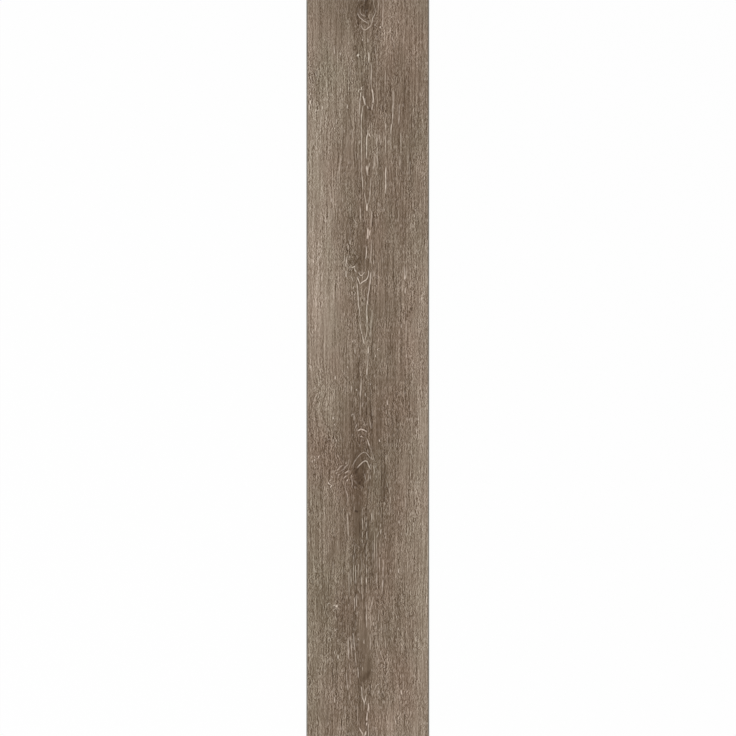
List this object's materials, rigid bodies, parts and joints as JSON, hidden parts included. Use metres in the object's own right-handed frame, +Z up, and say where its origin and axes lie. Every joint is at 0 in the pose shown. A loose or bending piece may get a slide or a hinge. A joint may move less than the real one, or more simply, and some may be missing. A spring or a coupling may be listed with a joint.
{
  "type": "vinyl floor plank",
  "caption": "Long flat glue-down vinyl floor plank with square cut edges, a micro bevel round the wear face and a limed oak print, laid edge to edge to cover a floor.",
  "frame": {"origin": "middle of the back, the face that is glued to the subfloor", "axes": "+X across the plank's width, +Y along its length, +Z up, out of the wear face"},
  "size_m": [0.1524, 0.9144, 0.0025],
  "materials": {
    "printed_vinyl": "matte"
  },
  "bodies": {
    "root": {"plank": "printed_vinyl"}
  },
  "joints": []
}
